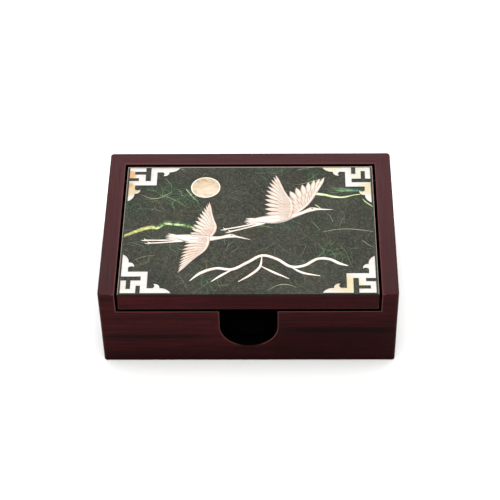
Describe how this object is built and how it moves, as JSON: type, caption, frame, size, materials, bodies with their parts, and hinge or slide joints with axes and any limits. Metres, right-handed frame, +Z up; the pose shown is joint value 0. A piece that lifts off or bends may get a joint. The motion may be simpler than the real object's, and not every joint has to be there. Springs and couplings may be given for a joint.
{
  "type": "business card box",
  "caption": "Low lacquered wooden desk box for business cards, with a thumb notch in front and a pin-hinged lid inlaid with shell on green fibrous paper.",
  "frame": {"origin": "centre of the face that the box rests on", "axes": "+Z up out of the lid, +X along the front wall to the right, +Y from the front wall to the rear wall"},
  "size_m": [0.11, 0.076, 0.0368],
  "materials": {
    "lacquered_wood": "wine-brown satin lacquer over close-grained wood",
    "plywood": "bare plywood",
    "felt": "black felt",
    "velvet": "black velvet on card",
    "pin_steel": "drawn steel",
    "fibre_paper": "lacquered mulberry paper with green fibres",
    "white_shell": "polished white mother-of-pearl",
    "pink_shell": "polished pink mother-of-pearl"
  },
  "bodies": {
    "case": {"front_wall": "lacquered_wood", "rear_wall": "lacquered_wood", "left_wall": "lacquered_wood", "right_wall": "lacquered_wood", "base_board": "plywood", "base_felt": "felt", "floor_lining": "velvet", "hinge_pin_left": "pin_steel", "hinge_pin_right": "pin_steel"},
    "lid": {"lid_board": "lacquered_wood", "paper_panel": "fibre_paper", "corner_fret_rear_left": "white_shell", "corner_fret_rear_right": "white_shell", "corner_fret_front_left": "white_shell", "corner_fret_front_right": "white_shell", "moon_disc": "pink_shell", "crane_high_body": "white_shell", "crane_high_near_wing": "pink_shell", "crane_high_far_wing": "pink_shell", "crane_low_body": "white_shell", "crane_low_near_wing": "pink_shell", "crane_low_far_wing": "pink_shell", "ridge_crest": "white_shell", "ridge_left_spur": "white_shell", "ridge_middle_spur": "white_shell", "ridge_middle_foot": "white_shell", "ridge_right_spur": "white_shell"}
  },
  "joints": [
    {"name": "lid_hinge", "type": "hinge", "parent": "case", "child": "lid", "pos_m": [0, 0.0252, 0.0329], "axis": [-1, 0, 0], "range_deg": [0, 115]}
  ]
}
